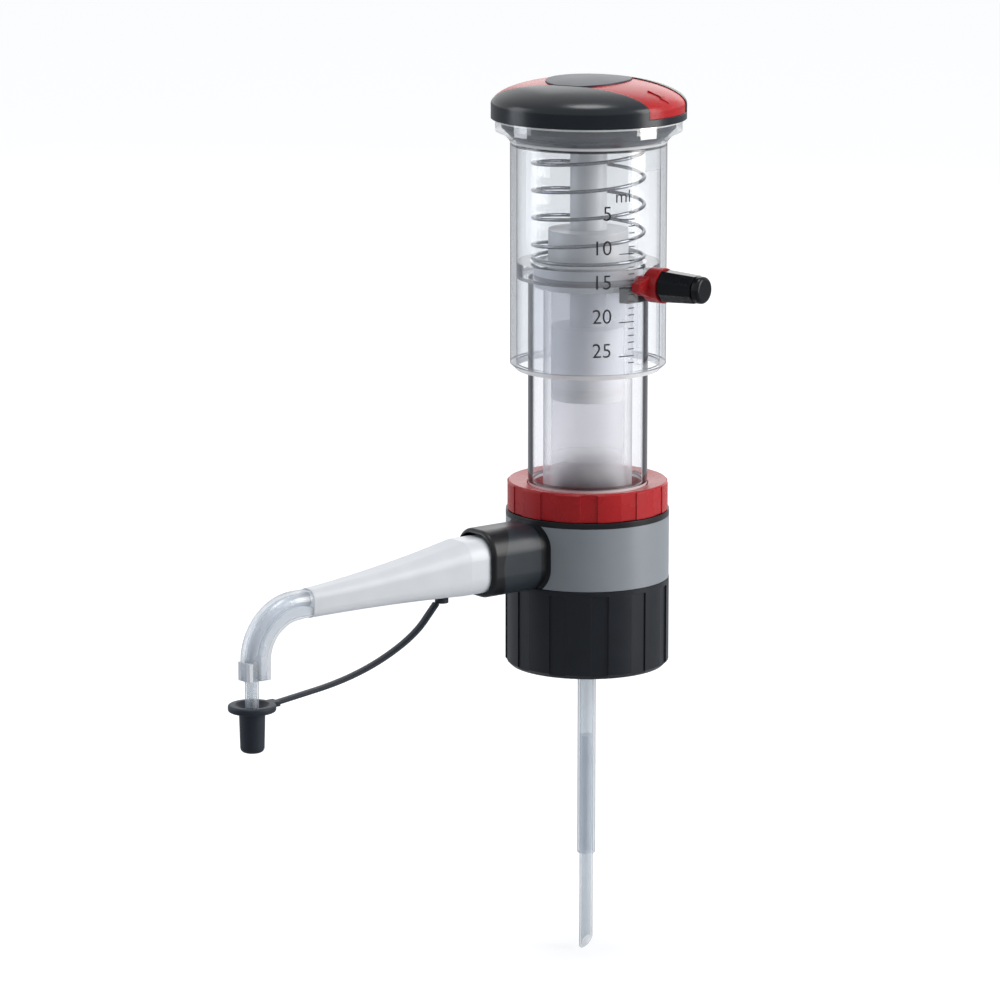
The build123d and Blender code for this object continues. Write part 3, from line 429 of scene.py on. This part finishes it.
def drawn_steel():
    """Stainless spring wire, drawn: bright metal with fine lengthwise streaks."""
    material, tree, place = empty_material("stainless_drawn")
    streaks = add(tree, "ShaderNodeTexNoise", {"Scale": 1 / (STEEL_DRAW_MM * MM), "Detail": 2.0},
                  {"Vector": place})
    matt = add(tree, "ShaderNodeMapRange", {"To Min": 0.2, "To Max": 0.34},
               {"Value": streaks.outputs["Fac"]})
    tone = add(tree, "ShaderNodeMix", {MIX_A: linear("#6C6F76"), MIX_B: linear("#878A90")},
               {"Factor": streaks.outputs["Fac"]}, data_type="RGBA").outputs[MIX_OUT]
    shader = add(tree, "ShaderNodeBsdfPrincipled", {"Metallic": 1.0},
                 {"Base Color": tone, "Roughness": matt.outputs["Result"]})
    add(tree, "ShaderNodeOutputMaterial", links={"Surface": shader.outputs["BSDF"]})
    return material


wire_steel = drawn_steel()

FINISHES = {
    "threaded_collar": collar_black, "housing_shell": hood_charcoal, "front_band": cover_grey,
    "bottle_gasket": ptfe_white, "valve_core": ptfe_white, "cylinder_seal": elastomer,
    "vent_seal": elastomer, "vent_cap": collar_black, "filling_valve_body": ptfe_white,
    "inlet_ball": lapped_ceramic, "filling_tube_upper": tube_fep, "filling_tube_lower": tube_fep,
    "discharge_valve_body": ptfe_white, "outlet_ball": lapped_ceramic, "outlet_tube": tube_fep,
    "spout": spout_white, "closure_cap": elastomer, "cap_tether": elastomer,
    "tether_anchor": elastomer, "locking_ring": signal_red, "cylinder": cylinder_glass,
    "guide_tube": guide_clear, "cylinder_head": head_grey, "piston": piston_white,
    "piston_seal": ptfe_white, "piston_rod": head_grey, "spring_cup": inner_grey,
    "return_spring": wire_steel, "stroke_sleeve": sleeve_clear, "press_cover": lobe_black,
    "press_plate": signal_red, "centre_disc": disc_grey, "volume_slider": signal_red,
    "stop_block": inner_grey, "clamp_screw": wire_steel, "volume_knob": knob_black,
}
for node, material in FINISHES.items():
    for material_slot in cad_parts[node].material_slots:
        material_slot.material = material


# ---------------------------------------------------------------- mesh pieces
PLUMB_SHARE = 0.01             # a run steeper than this keeps the side of the run before it


def piece(name, mesh, material, body):
    """Links a finished mesh as a piece that rides a body."""
    mesh.materials.clear()
    mesh.materials.append(material)
    made = bpy.data.objects.new(name, mesh)
    bpy.context.collection.objects.link(made)
    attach(made, body)
    return made


def close_tube(form, rings):
    """Faces between the rings of a tube and over its two ends."""
    count = len(rings[0])
    for low, high in zip(rings, rings[1:]):
        for k in range(count):
            form.faces.new((low[k], low[(k + 1) % count], high[(k + 1) % count], high[k]))
    form.faces.new(rings[0][::-1])
    form.faces.new(rings[-1])
    bmesh.ops.recalc_face_normals(form, faces=form.faces)


def swept(name, points, section, slimmer=1.0):
    """A closed-ended mesh along points, with a section of (out, up) offsets that ends slimmer."""
    form = bmesh.new()
    rings = []
    for i, point in enumerate(points):
        ahead = points[min(i + 1, len(points) - 1)] - points[max(i - 1, 0)]
        if abs(ahead.x) + abs(ahead.y) > PLUMB_SHARE * abs(ahead.z):
            side = ahead.cross(Vector((0, 0, 1))).normalized()
        up = side.cross(ahead).normalized()
        width = 1 + (slimmer - 1) * i / (len(points) - 1)
        rings.append([form.verts.new(point + side * out * width + up * rise)
                      for out, rise in section])
    close_tube(form, rings)
    for face in form.faces:
        face.smooth = len(face.verts) == 4
    mesh = bpy.data.meshes.new(name)
    form.to_mesh(mesh)
    form.free()
    return mesh


def round_section(radius, sides):
    """Offsets of a round wire's section."""
    turn = 2 * math.pi / sides
    return [(radius * math.cos(k * turn), radius * math.sin(k * turn)) for k in range(sides)]


# Return spring, with closed end turns, between the cylinder head and the spring cup.
SPRING_R = 18.0
WIRE_R = 0.6
WIRE_SIDES = 10
OPEN_TURNS = 4.4
END_TURNS = 2                  # closed turns, one at each end
SPRING_STEPS = 36              # points in a turn
spring_low, spring_high = (corner.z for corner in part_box("return_spring"))
end_rise = 2 * WIRE_R * MM
open_rise = spring_high - spring_low - 2 * WIRE_R * MM - 2 * end_rise
total_turns = OPEN_TURNS + END_TURNS


def spring_height(turns):
    """Height of the wire's centre after some turns from the foot."""
    height = spring_low + WIRE_R * MM
    height += min(turns, 1) * end_rise
    height += min(max(turns - 1, 0), OPEN_TURNS) / OPEN_TURNS * open_rise
    return height + max(turns - 1 - OPEN_TURNS, 0) * end_rise


coil_points = []
for step in range(int(total_turns * SPRING_STEPS) + 1):
    turns = step / SPRING_STEPS
    angle = 2 * math.pi * turns
    coil_points.append(Vector((
        SPRING_R * MM * math.cos(angle), SPRING_R * MM * math.sin(angle), spring_height(turns))))
coil_mesh = swept("return_coil", coil_points, round_section(WIRE_R * MM, WIRE_SIDES))
coil = piece("return_coil", coil_mesh, wire_steel, "valve_block")
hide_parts("return_spring")
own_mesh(coil)

# Cap strap, moulded flat, from the stud under the spout to the cap's tab.
STRAP_CORNERS = (              # x and z
    (-62.2, 4.3), (-72.0, -6.05), (-95.0, -15.25), (-125.15, -18.65))
STRAP_W = 3.0
STRAP_T = 1.1
STRAP_ROUND = 0.3
SMOOTHINGS = 4


def eased(corners):
    """Corner-cut line through the middles of the corners' runs, with its ends kept."""
    line = [corners[0]]
    for near, far in zip(corners, corners[1:]):
        line += [near.lerp(far, 0.25), near.lerp(far, 0.75)]
    return line + [corners[-1]]


strap_line = [Vector((x, 0, z)) * MM for x, z in STRAP_CORNERS]
for _ in range(SMOOTHINGS):
    strap_line = eased(strap_line)
half_w, half_t, cut = STRAP_W / 2 * MM, STRAP_T / 2 * MM, STRAP_ROUND * MM
strap_section = [
    (half_w, -half_t + cut), (half_w, half_t - cut),
    (half_w - cut, half_t), (-half_w + cut, half_t),
    (-half_w, half_t - cut), (-half_w, -half_t + cut),
    (-half_w + cut, -half_t), (half_w - cut, -half_t)]
strap_mesh = swept("cap_strap", strap_line, strap_section)
strap_mesh.materials.append(elastomer)
strap = bpy.data.objects.new("cap_strap", strap_mesh)
bpy.context.collection.objects.link(strap)
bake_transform(strap)
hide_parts("cap_tether")

# Web of the spout's bend, moulded round the tube from the spout's end face down to the cap.
ROUTE_START = -111.0
ROUTE_Z = 12.8
BEND_X = -117.6
BEND_R = 17.0
BEND_FOOT = -9.9
BEND_STEPS = 24
WEB_IN = 5.3                   # from the tube's middle to the inner side of the bend
WEB_OUT = 3.1
WEB_W = 7.6
WEB_END_SHARE = 0.86
WEB_ROUND = 2.6
WEB_CORNER_STEPS = 4
route = [Vector((ROUTE_START, 0, ROUTE_Z)), Vector(((ROUTE_START + BEND_X) / 2, 0, ROUTE_Z))]
for step in range(BEND_STEPS + 1):
    angle = math.radians(90 * step / BEND_STEPS)
    route.append(Vector((BEND_X - BEND_R * math.sin(angle), 0,
                         ROUTE_Z - BEND_R + BEND_R * math.cos(angle))))
route.append(Vector((BEND_X - BEND_R, 0, BEND_FOOT)))
web_side = WEB_W / 2 - WEB_ROUND
web_top, web_foot = WEB_OUT - WEB_ROUND, WEB_ROUND - WEB_IN
web_section = []
for quarter, (corner_out, corner_up) in enumerate((
        (web_side, web_top), (-web_side, web_top), (-web_side, web_foot), (web_side, web_foot))):
    for k in range(WEB_CORNER_STEPS + 1):
        angle = math.radians(90 * (quarter + k / WEB_CORNER_STEPS))
        web_section.append(((corner_out + WEB_ROUND * math.cos(angle)) * MM,
                            (corner_up + WEB_ROUND * math.sin(angle)) * MM))
web_mesh = swept("spout_web", [point * MM for point in route], web_section, WEB_END_SHARE)
piece("spout_web", web_mesh, bend_milky, "valve_block")

# Raised arrow on the red plate, in the window to the right.
ARROW = (                      # along and across the arrow, from the middle of its shaft
    (-3.6, 0.35), (1.2, 0.35), (1.2, 1.3), (3.6, 0.0), (1.2, -1.3), (1.2, -0.35), (-3.6, -0.35))
ARROW_AZIMUTH = 286.0
ARROW_TURN = 12.0
ARROW_R = 27.0
ARROW_LIFT = 0.5
ARROW_ROOT = 0.5
DOME_FOOT, DOME_H, DOME_R = 160.46, 8.3, 31.3
DOME_REACH = 0.999             # share of the dome's radius that a point may reach


def level_way(azimuth):
    """Level direction at an azimuth in degrees."""
    return Vector((math.cos(math.radians(azimuth)), math.sin(math.radians(azimuth)), 0))


arrow_form = bmesh.new()
out_way = level_way(ARROW_AZIMUTH)
long_way = level_way(ARROW_AZIMUTH + ARROW_TURN)
wide_way = Vector((-long_way.y, long_way.x, 0))
levels = []
for lift in (-ARROW_ROOT, ARROW_LIFT):
    level = []
    for along, across in ARROW:
        at = out_way * ARROW_R + long_way * along + wide_way * across
        fall = min(at.length / DOME_R, DOME_REACH)
        at.z = DOME_FOOT + DOME_H * math.sqrt(1 - fall ** 2) + lift
        level.append(arrow_form.verts.new(at * MM))
    levels.append(level)
for k in range(len(ARROW)):
    after = (k + 1) % len(ARROW)
    arrow_form.faces.new((levels[0][k], levels[0][after], levels[1][after], levels[1][k]))
arrow_form.faces.new(levels[0][::-1])
arrow_form.faces.new(levels[1])
many_sided = [face for face in arrow_form.faces if len(face.verts) > 4]
bmesh.ops.triangulate(arrow_form, faces=many_sided)
bmesh.ops.recalc_face_normals(arrow_form, faces=arrow_form.faces)
arrow_mesh = bpy.data.meshes.new("window_arrow")
arrow_form.to_mesh(arrow_mesh)
arrow_form.free()
piece("window_arrow", arrow_mesh, signal_red, "plunger")

# ---------------------------------------------------------------- dose scale printed on the sleeve
SLEEVE_R = 25.35
INK_LIFT = 0.03
INK_T = 0.03
STOP_Z = 103.95                # height of the mark for the set dose
SET_ML = 15
MM_PER_ML = 2.2105
DIGIT_H = 4.85
FONT_DIGIT_SHARE = 0.73        # digit height over font size
DIGIT_NARROW = 0.98
DIGIT_RIGHT = 248.4            # azimuth where the numbers end
TICK_RIGHT = 266.4
TICK_LONG = 12.6               # degrees
TICK_SHORT = 5.0
TICK_W = 0.32
INK_STEP = 0.5                 # widest flat run of ink round the sleeve
INK_THINNER = -0.035           # moves the outline of the letters inwards
WIDEST_WORD = 4                # in letter heights
DIGIT_DROP = 0.1               # foot of a number below its line
FIRST_DOSE, LAST_DOSE, NUMBERED = 4, 26, 5
UNIT_SHARE = 0.88              # height of the unit over that of a number
UNIT_INSET = 3.2               # degrees from the lines' right end
UNIT_LIFT = 5.6                # over the line of the first number


def wrap(form, azimuth, height):
    """Bends a flat drawing in millimetres round the sleeve, its x = 0 at an azimuth."""
    for v in form.verts:
        angle = math.radians(azimuth) + v.co.x / SLEEVE_R
        radius = (SLEEVE_R + INK_LIFT + INK_T + v.co.z) * MM
        v.co = Vector((radius * math.cos(angle), radius * math.sin(angle), (height + v.co.y) * MM))


def pour(form, target):
    """Adds a drawing to the whole print and frees it."""
    loose = bpy.data.meshes.new("loose")
    form.to_mesh(loose)
    form.free()
    target.from_mesh(loose)
    bpy.data.meshes.remove(loose)


def add_word(target, text, cap_height, azimuth, height):
    """Adds a word that ends at an azimuth."""
    outline = bpy.data.curves.new("word", "FONT")
    outline.body = text
    outline.size = cap_height / FONT_DIGIT_SHARE
    outline.align_x = "RIGHT"
    outline.extrude = INK_T / 2
    outline.offset = INK_THINNER * cap_height / DIGIT_H
    drawn = bpy.data.objects.new("word", outline)
    mesh = bpy.data.meshes.new_from_object(drawn)
    bpy.data.objects.remove(drawn)
    bpy.data.curves.remove(outline)
    form = bmesh.new()
    form.from_mesh(mesh)
    bpy.data.meshes.remove(mesh)
    for v in form.verts:
        v.co.x *= DIGIT_NARROW
    across = INK_STEP
    while across < WIDEST_WORD * cap_height:
        whole = form.verts[:] + form.edges[:] + form.faces[:]
        bmesh.ops.bisect_plane(form, geom=whole, plane_co=(-across, 0, 0), plane_no=(1, 0, 0))
        across += INK_STEP
    wrap(form, azimuth, height)
    pour(form, target)


def add_tick(target, length_deg, height):
    """Adds a level line that ends at the ticks' right edge."""
    steps = max(2, round(length_deg))
    form = bmesh.new()
    rings = []
    for k in range(steps + 1):
        x = -math.radians(length_deg) * SLEEVE_R * k / steps
        rings.append([form.verts.new((x, y, z)) for y, z in (
            (-TICK_W / 2, -INK_T / 2), (TICK_W / 2, -INK_T / 2),
            (TICK_W / 2, INK_T / 2), (-TICK_W / 2, INK_T / 2))])
    close_tube(form, rings)
    wrap(form, TICK_RIGHT, height)
    pour(form, target)


scale_form = bmesh.new()
for dose in range(FIRST_DOSE, LAST_DOSE + 1):
    mark_z = STOP_Z + (SET_ML - dose) * MM_PER_ML
    if dose % NUMBERED:
        add_tick(scale_form, TICK_SHORT, mark_z)
    else:
        add_tick(scale_form, TICK_LONG, mark_z)
        add_word(scale_form, str(dose), DIGIT_H, DIGIT_RIGHT, mark_z - DIGIT_DROP)
unit_z = STOP_Z + (SET_ML - NUMBERED) * MM_PER_ML + UNIT_LIFT
add_word(scale_form, "ml", DIGIT_H * UNIT_SHARE, TICK_RIGHT - UNIT_INSET, unit_z)
scale_mesh = bpy.data.meshes.new("dose_scale")
scale_form.to_mesh(scale_mesh)
scale_form.free()
piece("dose_scale", scale_mesh, scale_ink, "plunger")

# ---------------------------------------------------------------- thread inside the collar
THREAD_R = 22.6
THREAD_DEPTH = 1.1
THREAD_W = 1.9
THREAD_CREST_W = 0.76
THREAD_ROOT = 0.15             # how far the thread is set into the collar's wall
THREAD_PITCH = 4.0
THREAD_FOOT = -21.5
THREAD_TURNS = 3.6
THREAD_STEPS = 48
thread_points = []
for step in range(int(THREAD_TURNS * THREAD_STEPS) + 1):
    angle = 2 * math.pi * step / THREAD_STEPS
    thread_points.append(Vector((
        THREAD_R * MM * math.cos(angle), THREAD_R * MM * math.sin(angle),
        (THREAD_FOOT + THREAD_PITCH * step / THREAD_STEPS) * MM)))
thread_section = [
    (THREAD_ROOT * MM, -THREAD_W / 2 * MM), (THREAD_ROOT * MM, THREAD_W / 2 * MM),
    (-THREAD_DEPTH * MM, THREAD_CREST_W / 2 * MM), (-THREAD_DEPTH * MM, -THREAD_CREST_W / 2 * MM)]
piece("collar_thread", swept("collar_thread", thread_points, thread_section), collar_black,
      "collar")

# ---------------------------------------------------------------- floor, lamps and world
FLOOR_GAP = 0.5 * MM
floor_z = cad_box[BOTTOM].z - FLOOR_GAP
floor_mesh = bpy.data.meshes.new("floor")
FLOOR_HALF = 12.0
floor_mesh.from_pydata(
    [(-FLOOR_HALF, -FLOOR_HALF, floor_z), (FLOOR_HALF, -FLOOR_HALF, floor_z),
     (FLOOR_HALF, FLOOR_HALF, floor_z), (-FLOOR_HALF, FLOOR_HALF, floor_z)], [], [(0, 1, 2, 3)])
floor = bpy.data.objects.new("floor", floor_mesh)
bpy.context.collection.objects.link(floor)

# Matt paper sweep: pale grey, lifted to near white for the camera alone, and it keeps the shadow.
PAPER_LIFT = 0.65
paper, paper_tree, _ = empty_material("matt_paper")
path = add(paper_tree, "ShaderNodeLightPath")
paper_matt = add(paper_tree, "ShaderNodeBsdfDiffuse", {"Color": linear("#C2C4C6")})
paper_glow = add(paper_tree, "ShaderNodeEmission", {
    "Color": linear("#FFFFFF"), "Strength": PAPER_LIFT})
paper_lift = add(paper_tree, "ShaderNodeAddShader", links={
    0: paper_matt.outputs["BSDF"], 1: paper_glow.outputs["Emission"]})
paper_mix = add(paper_tree, "ShaderNodeMixShader", links={
    0: path.outputs["Is Camera Ray"], 1: paper_matt.outputs["BSDF"],
    2: paper_lift.outputs["Shader"]})
add(paper_tree, "ShaderNodeOutputMaterial", links={"Surface": paper_mix.outputs["Shader"]})
floor_mesh.materials.append(paper)

# The room lights the object softly; whatever is seen, seen through or mirrored is white.
ROOM_LIGHT = 0.22
world = bpy.data.worlds.new("studio")
bpy.context.scene.world = world
world.use_nodes = True
world_tree = world.node_tree
world_tree.nodes.clear()
world_path = add(world_tree, "ShaderNodeLightPath")
looked_through = add(world_tree, "ShaderNodeMath", links={
    0: world_path.outputs["Is Camera Ray"], 1: world_path.outputs["Is Transmission Ray"]},
    operation="MAXIMUM")
seen = add(world_tree, "ShaderNodeMath", links={
    0: looked_through.outputs[0], 1: world_path.outputs["Is Glossy Ray"]}, operation="MAXIMUM")
room = add(world_tree, "ShaderNodeBackground", {
    "Color": linear("#EEF1F5"), "Strength": ROOM_LIGHT})
white = add(world_tree, "ShaderNodeBackground", {
    "Color": linear("#FFFFFF"), "Strength": 1.0})
world_mix = add(world_tree, "ShaderNodeMixShader", links={
    0: seen.outputs[0], 1: room.outputs["Background"], 2: white.outputs["Background"]})
add(world_tree, "ShaderNodeOutputWorld", links={"Surface": world_mix.outputs["Shader"]})

camera_right = Vector((math.cos(CAMERA_TURN), -math.sin(CAMERA_TURN), 0))
camera_front = Vector((-math.sin(CAMERA_TURN), -math.cos(CAMERA_TURN), 0))
AIM = Vector((-15, 0, 60)) * MM


def softbox(name, right, front, up, width, height, watts, colour):
    """A soft lamp placed from the object, in metres to the camera's right, towards it and up."""
    data = bpy.data.lights.new(name, "AREA")
    data.shape = "RECTANGLE"
    data.size = width
    data.size_y = height
    data.energy = watts
    data.color = linear(colour)[:3]
    lamp = bpy.data.objects.new(name, data)
    bpy.context.collection.objects.link(lamp)
    lamp.location = AIM + camera_right * right + camera_front * front + Vector((0, 0, up))
    lamp.rotation_mode = "QUATERNION"
    lamp.rotation_quaternion = (AIM - lamp.location).to_track_quat("-Z", "Y")


# Name, place to the right, front and top, width, height, watts and colour.
for lamp in (
        ("key_right", 1.4, 0.3, 0.4, 0.7, 1.3, 20, "#FFFDFA"),
        ("fill_left", -1.4, -0.1, 0.3, 0.6, 1.2, 7, "#F4F8FF"),
        ("back", 0.3, -1.5, 0.7, 1.0, 1.0, 3, "#FFFFFF")):
    softbox(*lamp)

# An even light from above, so that the floor is as bright far off as near the object.
TOP_STRENGTH = 1.2
TOP_SOFTNESS = math.radians(24)
sky_data = bpy.data.lights.new("top", "SUN")
sky_data.energy = TOP_STRENGTH
sky_data.angle = TOP_SOFTNESS
sky = bpy.data.objects.new("top", sky_data)
bpy.context.collection.objects.link(sky)

WALLS_IN_A_ROW = 32            # clear faces that a line of sight may cross
bpy.context.scene.view_settings.view_transform = "Standard"
bpy.context.scene.cycles.transparent_max_bounces = WALLS_IN_A_ROW
